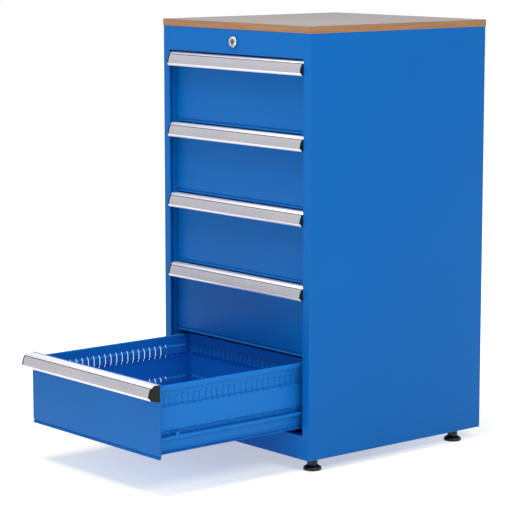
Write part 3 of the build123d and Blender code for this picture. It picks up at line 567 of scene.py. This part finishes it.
def new_object(name: str, mesh_source: BMesh, material: Material, smooth: bool = True) -> Object:
    """Turn mesh data in millimetres into an object in metres.

    Args:
        name: Name of the object and of its mesh.
        mesh_source: Mesh data, which is freed.
        material: Finish of the whole piece.
        smooth: Whether shallow corners are shaded as curves.

    Returns:
        The new object, linked to the scene.
    """
    bmesh.ops.scale(mesh_source, vec=(MM, MM, MM), verts=mesh_source.verts)
    bmesh.ops.recalc_face_normals(mesh_source, faces=mesh_source.faces)
    mesh = bpy.data.meshes.new(name)
    mesh_source.to_mesh(mesh)
    mesh_source.free()
    mesh.materials.append(material)
    if smooth:
        mesh.shade_smooth()
        mesh.set_sharp_from_angle(angle=SMOOTH_BELOW)
    piece = bpy.data.objects.new(name, mesh)
    bpy.context.scene.collection.objects.link(piece)
    return piece


def add_prism(mesh: BMesh, outline: Sequence[Vector], shift: Vector) -> None:
    """Add a closed prism to mesh data.

    Args:
        mesh: Mesh data that gets the prism.
        outline: Corners of its first end face, in order.
        shift: Way from the first end face to the other.
    """
    first = [mesh.verts.new(point) for point in outline]
    second = [mesh.verts.new(point + shift) for point in outline]
    mesh.faces.new(first)
    mesh.faces.new(list(reversed(second)))
    for at in range(len(outline)):
        after = (at + 1) % len(outline)
        mesh.faces.new((first[after], first[at], second[at], second[after]))


def add_box(mesh: BMesh, corner: Vector, opposite: Vector) -> None:
    """Add a box to mesh data.

    Args:
        mesh: Mesh data that gets the box.
        corner: One of its corners.
        opposite: The corner across from it.
    """
    (left, front, foot), (right, rear, top) = corner, opposite
    plan = ((left, front), (right, front), (right, rear), (left, rear))
    add_prism(mesh, [Vector((x, y, foot)) for x, y in plan], Vector((0, 0, top - foot)))


def circle(radius: float, sides: int) -> list[Point2]:
    """Corners of a regular outline round the origin.

    Args:
        radius: Distance of the corners from the origin.
        sides: Number of corners.

    Returns:
        The corners, in order.
    """
    angles = [2 * math.pi * step / sides for step in range(sides)]
    return [(radius * math.cos(angle), radius * math.sin(angle)) for angle in angles]


def add_lathe(mesh: BMesh, profile: Sequence[Point2], centre: Vector, segments: int) -> None:
    """Add a turned form about a vertical axis.

    Args:
        mesh: Mesh data that gets the form.
        profile: Radius and height of the outline, from the axis at the bottom to the axis at the top.
        centre: Foot of the axis.
        segments: Number of steps round the axis.
    """
    rings: list[list[BMVert]] = []
    for radius, height in profile:
        points = circle(radius, segments) if radius else [(0.0, 0.0)]
        rings.append([mesh.verts.new(centre + Vector((x, y, height))) for x, y in points])
    for low, high in zip(rings, rings[1:]):
        for step in range(segments):
            ways = ((low, step), (low, step + 1), (high, step + 1), (high, step))
            mesh.faces.new(dict.fromkeys(ring[at % len(ring)] for ring, at in ways))


def soften(piece: Object, width_mm: float) -> None:
    """Weld a piece's split corners and round its edges, as folding or moulding does.

    Args:
        piece: Object that gets the modifiers.
        width_mm: Width of the rounding.
    """
    weld = piece.modifiers.new("Weld", "WELD")
    weld.merge_threshold = WELD_REACH
    bevel = piece.modifiers.new("Bevel", "BEVEL")
    bevel.width = width_mm * MM
    bevel.segments = SOFT_STEPS
    bevel.limit_method = "ANGLE"
    bevel.angle_limit = SOFT_ABOVE
    bevel.harden_normals = True


def box_mm(node: str) -> tuple[Vector, Vector]:
    """Lowest and highest corner of a CAD node, in millimetres."""
    low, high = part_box(node)
    return low / MM, high / MM


def dress_node(name: str, material: Material, soften_mm: float = 0.0) -> None:
    """Give a CAD node its finish and, where asked, soft edges.

    Args:
        name: Name of the CAD node.
        material: Finish of the node.
        soften_mm: Width of the rounding on its edges, or none.
    """
    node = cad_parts[name]
    if not node.material_slots:
        node.data.materials.append(material)
    for slot in node.material_slots:
        slot.material = material
    if soften_mm:
        soften(node, soften_mm)
    log.info("dressed %s with %s", name, material.name)


def place_piece(piece: Object, body: str, stands_for: Sequence[str] = ()) -> None:
    """Attach a finished piece to its body, and hide the CAD nodes it stands for.

    Args:
        piece: Object to hand over.
        body: CAD body that it rides on.
        stands_for: CAD nodes that it takes the place of.
    """
    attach(piece, body)
    if stands_for:
        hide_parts(*stands_for)
    log.info("made %s on %s", piece.name, body)


# ---------------------------------------------------------------------------
# Sub-assemblies
# ---------------------------------------------------------------------------


@dataclass
class CabinetBody:
    """Folded steel body with its uprights and the runners fixed to them."""

    finishes: FinishSet
    fold_mm: float = 0.55
    bend_mm: float = 2.6
    bend_steps: int = 5
    sheet: float = 1.2
    post_width: float = 22.5
    post_lip: float = 5.0
    flange: float = 14.0

    def build(self) -> None:
        """Make the side panels with round bends, and finish the other parts of the body."""
        for side in Side:
            self._side_panel(side)
        for name in ("front_fascia", "bottom_rail", "back_panel"):
            dress_node(name, self.finishes.body, self.fold_mm)
        for name in ("base_plate", "top_crossmembers", "uprights_left", "uprights_right"):
            dress_node(name, self.finishes.body)
        for name in ("cabinet_rails_left", "cabinet_rails_right", "foot_studs"):
            dress_node(name, self.finishes.zinc)

    def _side_panel(self, side: Side) -> None:
        """Make one side with its post, bent round the radius of a press tool.

        Args:
            side: Which side of the cabinet.
        """
        node = f"side_panel_{side.name.lower()}"
        low, high = box_mm(node)
        outside = max(abs(low.x), abs(high.x))
        inside, flange_end = outside - self.post_width, outside - self.flange
        corners = [(inside, low.y), (outside, low.y), (outside, high.y), (flange_end, high.y)]
        line = [(inside, low.y + self.post_lip), *rounded(corners, self.bend_mm, self.bend_steps)]
        mesh = bmesh.new()
        outline = [Vector((side.value * x, y, low.z)) for x, y in folded(line, self.sheet)]
        add_prism(mesh, outline, Vector((0, 0, high.z - low.z)))
        for level in (low.z, high.z - self.sheet):
            corner = Vector((side.value * flange_end, low.y + self.sheet, level))
            opposite = (side.value * (outside - self.sheet), high.y - self.sheet, level + self.sheet)
            add_box(mesh, corner, Vector(opposite))
        piece = new_object(f"{node}_bent", mesh, self.finishes.body)
        place_piece(piece, "cabinet", [node])


@dataclass
class Worktop:
    """Laminated board with beech strips on its four edges."""

    finishes: FinishSet
    strip_mm: float = 2.0
    arris_mm: float = 0.45

    def build(self) -> None:
        """Dress the board and the laminate, and make the four strips."""
        dress_node("worktop_board", self.finishes.board)
        dress_node("worktop_laminate", self.finishes.laminate)
        low, high = box_mm("worktop_edging")
        left, right = low.x + self.strip_mm, high.x - self.strip_mm
        front, rear = low.y + self.strip_mm, high.y - self.strip_mm
        across, deep = self.finishes.beech_across, self.finishes.beech_deep
        for place, material, corner, opposite in (
            ("left", deep, (low.x, low.y), (left, high.y)),
            ("right", deep, (right, low.y), (high.x, high.y)),
            ("front", across, (left, low.y), (right, front)),
            ("rear", across, (left, rear), (right, high.y)),
        ):
            mesh = bmesh.new()
            add_box(mesh, Vector((*corner, low.z)), Vector((*opposite, high.z)))
            piece = new_object(f"worktop_strip_{place}", mesh, material)
            soften(piece, self.arris_mm)
            place_piece(piece, "cabinet", ["worktop_edging"])


@dataclass
class LevellingFoot:
    """Domed foot that turns on its stud."""

    finishes: FinishSet
    corner: str
    pad_radius: float = 21.8
    sleeve_radius: float = 12.5
    top: float = 27.7
    bore_radius: float = 5.1
    bore_depth: float = 6.0
    segments: int = 64

    def build(self) -> None:
        """Make the foot in place of its plain solid."""
        node = f"foot_{self.corner}"
        low, high = box_mm(node)
        centre = Vector(((low.x + high.x) / 2, (low.y + high.y) / 2, 0))
        pad, sleeve, top = self.pad_radius, self.sleeve_radius, self.top
        profile = [
            (0, 0),
            (pad - 1.2, 0),
            (pad - 0.3, 0.4),
            (pad, 1.2),
            (pad, 5.0),
            (pad - 0.4, 6.4),
            (pad - 1.6, 7.9),
            (pad - 3.8, 9.4),
            (pad - 6.2, 10.7),
            (sleeve + 1.4, 11.9),
            (sleeve + 0.4, 13.0),
            (sleeve, 14.4),
            (sleeve, top - 0.8),
            (sleeve - 0.2, top - 0.2),
            (sleeve - 0.8, top),
            (self.bore_radius, top),
            (self.bore_radius, top - self.bore_depth),
            (0, top - self.bore_depth),
        ]
        mesh = bmesh.new()
        add_lathe(mesh, profile, centre, self.segments)
        piece = new_object(f"{node}_moulding", mesh, self.finishes.foot)
        place_piece(piece, node, [node])


@dataclass
class Lock:
    """Round lock in the fascia, its shaft, and the bar that holds the drawers."""

    finishes: FinishSet
    ring_arris: float = 0.4
    plug_arris: float = 0.2

    def dress(self) -> None:
        """Finish the lock's own parts and the linkage behind the drawers."""
        dress_node("lock_body", self.finishes.chrome, self.ring_arris)
        dress_node("lock_plug", self.finishes.nickel, self.plug_arris)
        for name in ("lock_nut", "lock_shaft", "lock_bar"):
            dress_node(name, self.finishes.zinc)


@dataclass(frozen=True)
class BoxSizes:
    """Sizes of a drawer box, from the fold line under its front and from the inside of its front wall."""

    inside_half: float = 230.0
    depth: float = 460.0
    sheet: float = 1.0
    bottom: float = 0.6
    top: float = 155.7
    hem_width: float = 6.0
    hem_height: float = 11.0
    hem_round: float = 3.0
    hem_steps: int = 6
    rim_run: float = 6.0  # straight sheet under the rim, in which its first bend starts
    upper_strip: float = 118.5
    lower_strip: float = 38.5
    strip_depth: float = 3.6
    strip_height: float = 26.0
    strip_flat: float = 17.0
    strip_end: float = 10.0
    end_slope: float = 4.5
    slit_pitch: float = 17.0
    slit_width: float = 1.7
    slit_height: float = 31.0
    slit_count: int = 25


@dataclass(frozen=True)
class ChannelSizes:
    """Sizes of the channel along the foot of each drawer side, and of its axle."""

    web: float = 231.0
    tip: float = 241.5
    sheet: float = 1.2
    bottom: float = 0.6
    top: float = 38.6
    start: float = 1.8
    end: float = 514.8
    axle_at: float = 499.8
    axle_level: float = 24.3
    axle_radius: float = 3.0
    axle_sides: int = 24
    hexagon_radius: float = 6.0
    axle_reach: float = 249.5
    hexagon_reach: float = 243.0
    lip_height: float = 6.0
    bend: float = 3.0
    tab_inner: float = 235.0
    tab_outer: float = 239.5
    tab_start: float = 52.0
    tab_length: float = 9.0
    tab_height: float = 7.0


@dataclass(frozen=True)
class CatchSizes:
    """Sizes of the catch on a drawer's rear wall, from the same origin as its box."""

    lip_at: float = 514.8
    level: float = 88.0
    sheet: float = 3.0
    lip: float = 14.0
    foot: float = 20.0
    centre: float = -10.243
    width: float = 14.0


@dataclass(frozen=True)
class FaceSizes:
    """Sizes of the handle's curved face, forward of the panel and up from the handle's lower edge."""

    radius: float = 37.6
    centre_out: float = -7.6
    centre_level: float = 12.0
    gap_bottom: float = 33.2
    gap_top: float = 34.6
    gap_depth: float = 0.9
    # thickness of the dark strip that stands as painted shade in the gap
    shade_strip: float = 0.86
    half_length: float = 245.9

    def out(self, level: float, radius: float) -> float:
        """How far an arc of this radius about the face's centre stands out at a level."""
        return self.centre_out + math.sqrt(radius**2 - (level - self.centre_level) ** 2)


@dataclass(frozen=True)
class FrontSizes:
    """Sizes of the painted front, back from its face and up from the fold above its lip."""

    half: float = 250.0
    height: float = 163.2
    sheet: float = 1.2
    fold_back: float = 4.0
    groove_back: float = 3.4
    fold_drop: float = 1.2
    groove_drop: float = 0.9
    lip_forward: float = 4.6
    lip_drop: float = 6.3
    return_inset: float = 0.05  # keeps the ends of the two sheets from lying in one plane
    bend_mm: float = 1.6
    bend_steps: int = 3


@dataclass(frozen=True)
class FlangeSizes:
    """Sizes of the flange on each end cap, forward of the panel and up from the handle's lower edge."""

    height: float = 40.0
    lip_reach: float = 24.5
    lip_level: float = 5.5
    thickness: float = 0.8
    arris: float = 0.35
    chords: int = 10


@dataclass
class SlottedDrawer:
    """One drawer: box with pressed, slotted strips, painted front, handle and rollers.

    The origin of its own sizes is the fold line under its front, at the inside of the box's front wall.
    """

    finishes: FinishSet
    number: int
    box: BoxSizes = field(default_factory=BoxSizes)
    channel: ChannelSizes = field(default_factory=ChannelSizes)
    catch: CatchSizes = field(default_factory=CatchSizes)
    face: FaceSizes = field(default_factory=FaceSizes)
    flange: FlangeSizes = field(default_factory=FlangeSizes)
    front: FrontSizes = field(default_factory=FrontSizes)
    front_to_box: float = 2.2
    handle_top: float = 163.2
    bar_arris: float = 0.25
    cap_arris: float = 0.5
    origin: Vector = field(init=False)

    @property
    def body(self) -> str:
        """Name of the drawer's CAD body."""
        return f"drawer_{self.number}"

    def __post_init__(self) -> None:
        """Find the drawer's own origin: middle of the width, inside of the front wall, fold line."""
        _, high = box_mm(f"{self.body}_handle")
        self.origin = Vector((0.0, high.y + self.front_to_box, high.z - self.handle_top))

    @property
    def handle_foot(self) -> Vector:
        """Lower edge of the handle's outline, on the face of the front."""
        return self.origin + Vector((0, -self.front_to_box, self.handle_top - self.flange.height))

    def build(self) -> None:
        """Make the drawer's detailed pieces and dress the rest of its nodes."""
        self._make_walls()
        self._make_fittings()
        self._make_catch()
        self._make_shade_strip()
        self._make_cap_flanges()
        self._make_front()
        dress_node(f"{self.body}_handle", self.finishes.aluminium, self.bar_arris)
        dress_node(f"{self.body}_label_strip", self.finishes.label)
        dress_node(f"{self.body}_handle_caps", self.finishes.cap, self.cap_arris)
        dress_node(f"{self.body}_front_rollers", self.finishes.nylon)
        dress_node(f"{self.body}_rear_rollers", self.finishes.nylon)

    def _rows(self, hem: bool) -> list[tuple[float, float, bool]]:
        """Rows of a wall from its foot to its rim.

        Args:
            hem: Whether the wall ends in an outward hem.

        Returns:
            Outward offset, height and whether the row is pressed, for each row.
        """
        box = self.box
        middle = box.sheet / 2
        rows: list[tuple[float, float, bool]] = [(0.0, box.bottom, False)]
        for level in (box.lower_strip, box.upper_strip):
            rows += [
                (0.0, level - box.slit_height / 2, False),
                (0.0, level - box.strip_height / 2, False),
                (-box.strip_depth, level - box.strip_flat / 2, True),
                (-box.strip_depth, level + box.strip_flat / 2, True),
                (0.0, level + box.strip_height / 2, False),
                (0.0, level + box.slit_height / 2, False),
            ]
        if not hem:
            return [*rows, (0.0, box.top, False)]
        rim = [
            (0.0, box.top - box.rim_run),
            (0.0, box.top - middle),
            (box.hem_width, box.top - middle),
            (box.hem_width, box.top - box.hem_height),
        ]
        for outward, height in rounded(rim, box.hem_round, box.hem_steps)[1:]:
            rows.append((outward, height, False))
        return rows

    def _stations(self, start: float, end: float, middle: float) -> list[tuple[float, float, bool]]:
        """Stations along a wall.

        Args:
            start: Place of the wall's first end.
            end: Place of its other end.
            middle: Middle of the row of slots.

        Returns:
            Place, share of the strips' depth and whether a slot starts there, for each station.
        """
        box = self.box
        reach = box.depth / 2 - box.strip_end
        flat = reach - box.end_slope
        stations = [(start, 0.0, False), (middle - reach, 0.0, False), (middle - flat, 1.0, False)]
        for index in range(box.slit_count):
            at = middle + (index - (box.slit_count - 1) / 2) * box.slit_pitch
            stations.append((at - box.slit_width / 2, 1.0, True))
            stations.append((at + box.slit_width / 2, 1.0, False))
        return [*stations, (middle + flat, 1.0, False), (middle + reach, 0.0, False), (end, 0.0, False)]

    def _wall_frame(self, wall: Wall) -> tuple[Vector, Vector, Vector]:
        """Foot of a wall's middle surface, its direction and its outward direction.

        Args:
            wall: Which wall.

        Returns:
            A point of the wall where its stations begin to count, the way along it and the way out.
        """
        box = self.box
        middle = box.sheet / 2
        across = box.inside_half + middle
        frames = {
            Wall.LEFT: (Vector((-across, 0, 0)), Vector((0, 1, 0)), Vector((-1, 0, 0))),
            Wall.RIGHT: (Vector((across, 0, 0)), Vector((0, 1, 0)), Vector((1, 0, 0))),
            Wall.FRONT: (Vector((0, -middle, 0)), Vector((1, 0, 0)), Vector((0, -1, 0))),
            Wall.REAR: (Vector((0, box.depth + middle, 0)), Vector((1, 0, 0)), Vector((0, 1, 0))),
        }
        return frames[wall]

    def _add_wall(self, mesh: BMesh, wall: Wall) -> None:
        """Add the middle surface of one wall, with its slots left open.

        Args:
            mesh: Mesh data that gets the surface.
            wall: Which wall.
        """
        box = self.box
        foot, along, outward = self._wall_frame(wall)
        if wall in (Wall.LEFT, Wall.RIGHT):
            stations = self._stations(-box.sheet, box.depth + box.sheet, box.depth / 2)
        else:
            reach = box.inside_half + box.sheet
            stations = self._stations(-reach, reach, 0.0)
        rows = self._rows(hem=wall is not Wall.FRONT)
        grid: list[list[BMVert]] = []
        for out, height, pressed in rows:
            line = []
            for at, share, _ in stations:
                push = out * share if pressed else out
                point = foot + along * at + outward * push + Vector((0, 0, height))
                line.append(mesh.verts.new(self.origin + point))
            grid.append(line)
        for row in range(len(rows) - 1):
            low, high = rows[row][1], rows[row + 1][1]
            middle = (low + high) / 2
            in_slot = any(
                abs(middle - level) < box.slit_height / 2 for level in (box.lower_strip, box.upper_strip)
            )
            for column in range(len(stations) - 1):
                if in_slot and stations[column][2] and high > low:
                    continue
                lower, upper = (line[column : column + 2] for line in grid[row : row + 2])
                mesh.faces.new([*lower, *reversed(upper)])

    def _make_walls(self) -> None:
        """Make walls and floor as one sheet piece."""
        mesh = bmesh.new()
        for wall in Wall:
            self._add_wall(mesh, wall)
        box = self.box
        reach, rear = box.inside_half + box.sheet, box.depth + box.sheet
        foot = self.origin + Vector((0, 0, box.bottom + box.sheet / 2))
        plan = ((-reach, -box.sheet), (reach, -box.sheet), (reach, rear), (-reach, rear))
        mesh.faces.new([mesh.verts.new(foot + Vector((x, y, 0))) for x, y in plan])
        piece = new_object(f"{self.body}_walls", mesh, self.finishes.drawer, smooth=False)
        sheet = piece.modifiers.new("Sheet", "SOLIDIFY")
        sheet.thickness = box.sheet * MM
        sheet.offset = 0.0
        place_piece(piece, self.body, [f"{self.body}_box"])

    def _make_fittings(self) -> None:
        """Make the side channels with their lips, stop tabs and axles."""
        channel = self.channel
        origin = self.origin
        mesh = bmesh.new()
        line = [
            (channel.tip, channel.top - channel.lip_height),
            (channel.tip, channel.top),
            (channel.web, channel.top),
            (channel.web, channel.bottom),
            (channel.tip, channel.bottom),
        ]
        outline = folded(rounded(line, channel.bend), channel.sheet)
        for side in Side:
            sign = side.value
            section = [origin + Vector((sign * x, channel.start, z)) for x, z in outline]
            add_prism(mesh, section, Vector((0, channel.end - channel.start, 0)))
            corner = (sign * channel.tab_inner, channel.tab_start, channel.top - channel.sheet)
            opposite = (
                sign * channel.tab_outer,
                channel.tab_start + channel.tab_length,
                channel.top + channel.tab_height,
            )
            add_box(mesh, origin + Vector(corner), origin + Vector(opposite))
            for radius, sides, start, end in (
                (channel.hexagon_radius, 6, channel.web + channel.sheet, channel.hexagon_reach),
                (channel.axle_radius, channel.axle_sides, channel.hexagon_reach, channel.axle_reach),
            ):
                axis = origin + Vector((sign * start, channel.axle_at, channel.axle_level))
                ring = [axis + Vector((0, y, z)) for y, z in circle(radius, sides)]
                add_prism(mesh, ring, Vector((sign * (end - start), 0, 0)))
        piece = new_object(f"{self.body}_channels", mesh, self.finishes.drawer)
        place_piece(piece, self.body, [f"{self.body}_box"])

    def _make_catch(self) -> None:
        """Make the folded catch on the rear wall that the lock bar's hook holds."""
        catch = self.catch
        wall, top = self.box.depth + self.box.sheet, catch.level + catch.sheet
        line = [
            (catch.lip_at, catch.level - catch.lip),
            (catch.lip_at, top),
            (wall, top),
            (wall, catch.level - catch.foot),
        ]
        foot = self.origin + Vector((catch.centre - catch.width / 2, 0, 0))
        outline = [foot + Vector((0, y, z)) for y, z in folded(line, catch.sheet)]
        mesh = bmesh.new()
        add_prism(mesh, outline, Vector((catch.width, 0, 0)))
        piece = new_object(f"{self.body}_catch", mesh, self.finishes.drawer)
        place_piece(piece, self.body, [f"{self.body}_box"])

    def _make_front(self) -> None:
        """Make the front from one folded sheet, with returns, a groove at the fold and a lip."""
        front = self.front
        foot = self.origin - Vector((0, self.front_to_box, 0))
        groove = -front.fold_drop - front.groove_drop
        line = [
            (front.fold_back, front.height),
            (0.0, front.height),
            (0.0, -front.fold_drop),
            (front.groove_back, groove),
            (front.groove_back - front.lip_forward, groove - front.lip_drop),
        ]
        bent = folded(rounded(line, front.bend_mm, front.bend_steps), front.sheet)
        mesh = bmesh.new()
        outline = [foot + Vector((-front.half, y, z)) for y, z in bent]
        add_prism(mesh, outline, Vector((2 * front.half, 0, 0)))
        inset = front.return_inset
        outer, inner = front.half - inset, front.half - inset - front.sheet
        for side in Side:
            corner = Vector((side.value * outer, inset, 0.0))
            opposite = Vector((side.value * inner, front.fold_back, front.height - inset))
            add_box(mesh, foot + corner, foot + opposite)
        piece = new_object(f"{self.body}_front_folded", mesh, self.finishes.body)
        place_piece(piece, self.body, [f"{self.body}_front"])

    def _make_cap_flanges(self) -> None:
        """Make the thin flanges of the end caps, which cover the whole ends of the extrusion."""
        face, flange = self.face, self.flange
        rise = (flange.height - face.centre_level) / flange.chords
        levels = [face.centre_level + rise * step for step in range(flange.chords + 1)]
        arc = [(face.out(level, face.radius), level) for level in levels]
        line = [(0.0, 0.0), (flange.lip_reach, flange.lip_level), *arc, (0.0, flange.height)]
        mesh = bmesh.new()
        for side in Side:
            foot = self.handle_foot + Vector((side.value * self.front.half, 0, 0))
            outline = [foot + Vector((0, -out, level)) for out, level in line]
            add_prism(mesh, outline, Vector((side.value * flange.thickness, 0, 0)))
        piece = new_object(f"{self.body}_cap_flanges", mesh, self.finishes.cap)
        soften(piece, flange.arris)
        place_piece(piece, self.body)

    def _make_shade_strip(self) -> None:
        """Make a dark strip in the gap along the top of the label strip: painted shade of that gap."""
        face = self.face
        foot = self.handle_foot - Vector((face.half_length, 0, 0))
        inner = face.radius - face.gap_depth
        outer, low, high = inner + face.shade_strip, face.gap_bottom, face.gap_top
        line = ((inner, low), (outer, low), (outer, high), (inner, high))
        mesh = bmesh.new()
        outline = [foot + Vector((0, -face.out(level, radius), level)) for radius, level in line]
        add_prism(mesh, outline, Vector((2 * face.half_length, 0, 0)))
        piece = new_object(f"{self.body}_label_gasket", mesh, self.finishes.shade_strip)
        place_piece(piece, self.body)


@dataclass(frozen=True)
class Lamp:
    """Square soft lamp, with its places and the length of its sides in metres."""

    name: str
    place: Point3
    target: Point3
    size: float
    watts: float

    def build(self) -> None:
        """Add the lamp and turn it to its target."""
        data = bpy.data.lights.new(self.name, "AREA")
        data.size = self.size
        data.energy = self.watts
        lamp = bpy.data.objects.new(self.name, data)
        lamp.location = self.place
        way = Vector(self.target) - Vector(self.place)
        lamp.rotation_euler = way.to_track_quat("-Z", "Y").to_euler()
        bpy.context.scene.collection.objects.link(lamp)


@dataclass
class Studio:
    """Plain pale floor, white surroundings and soft lamps."""

    floor_half: float = 12.0
    sky_level: float = 0.18  # light of the surroundings on the object, against what the camera sees
    lamps: tuple[Lamp, ...] = (
        Lamp("Lamp above", (0.2, -1.2, 4.2), (0.0, -0.2, 0.5), size=1.8, watts=118.0),
        Lamp("Lamp right", (3.4, -0.2, 3.3), (0.2, 0.1, 0.3), size=1.6, watts=60.0),
        Lamp("Lamp low", (1.0, -2.5, 0.6), (0.05, -0.3, 0.1), size=0.8, watts=11.0),
    )

    def build(self) -> None:
        """Make the floor, the surroundings and the lamps."""
        self._floor()
        self._surroundings()
        for lamp in self.lamps:
            lamp.build()

    def _floor(self) -> None:
        """Make the floor as one large square."""
        mesh = bmesh.new()
        half = self.floor_half / MM
        corners = ((-half, -half, 0), (half, -half, 0), (half, half, 0), (-half, half, 0))
        mesh.faces.new([mesh.verts.new(corner) for corner in corners])
        floor = new_object("Studio_floor", mesh, PaintedFloor().build())

    def _surroundings(self) -> None:
        """Light the object evenly and show white to the camera and in reflections."""
        world = bpy.data.worlds.new("Studio")
        world.use_nodes = True
        bpy.context.scene.world = world
        tree = world.node_tree
        tree.nodes.clear()
        ends = {"To Min": self.sky_level, "To Max": 1.0}
        level = add_node(tree, "ShaderNodeMapRange", ends, {"Value": (seen_directly(tree), 0)})
        sky = add_node(tree, "ShaderNodeBackground", {"Color": WHITE}, {"Strength": (level, 0)})
        add_node(tree, "ShaderNodeOutputWorld", links={"Surface": (sky, 0)})


@dataclass
class PhotoCamera:
    """Camera at the photograph's place and angle."""

    place: Point3 = (4.057, -3.388, 1.2825)
    azimuth: float = 50.075
    elevation: float = 8.652
    lens: float = 154.9
    sensor: float = 36.0
    reach: float = 60.0

    def build(self) -> None:
        """Make the camera and set it as the scene's."""
        data = bpy.data.cameras.new("Photo camera")
        data.lens = self.lens
        data.sensor_width = self.sensor
        data.clip_end = self.reach
        camera = bpy.data.objects.new("Photo camera", data)
        azimuth, elevation = math.radians(self.azimuth), math.radians(self.elevation)
        back = Vector((math.sin(azimuth), -math.cos(azimuth), math.tan(elevation)))
        camera.location = self.place
        camera.rotation_mode = "QUATERNION"
        camera.rotation_quaternion = (-back).to_track_quat("-Z", "Y")
        bpy.context.scene.collection.objects.link(camera)
        bpy.context.scene.camera = camera


def main() -> None:
    """Build the studio and every sub-assembly in order."""
    logging.basicConfig(level=logging.INFO, format="%(message)s")
    bpy.context.scene.view_settings.view_transform = "Standard"
    PhotoCamera().build()
    Studio().build()
    finishes = FinishSet()
    CabinetBody(finishes).build()
    Worktop(finishes).build()
    Lock(finishes).dress()
    for corner in ("front_left", "front_right", "rear_left", "rear_right"):
        LevellingFoot(finishes, corner).build()
    for number in range(1, 6):
        SlottedDrawer(finishes, number).build()


if __name__ == "__main__":
    main()
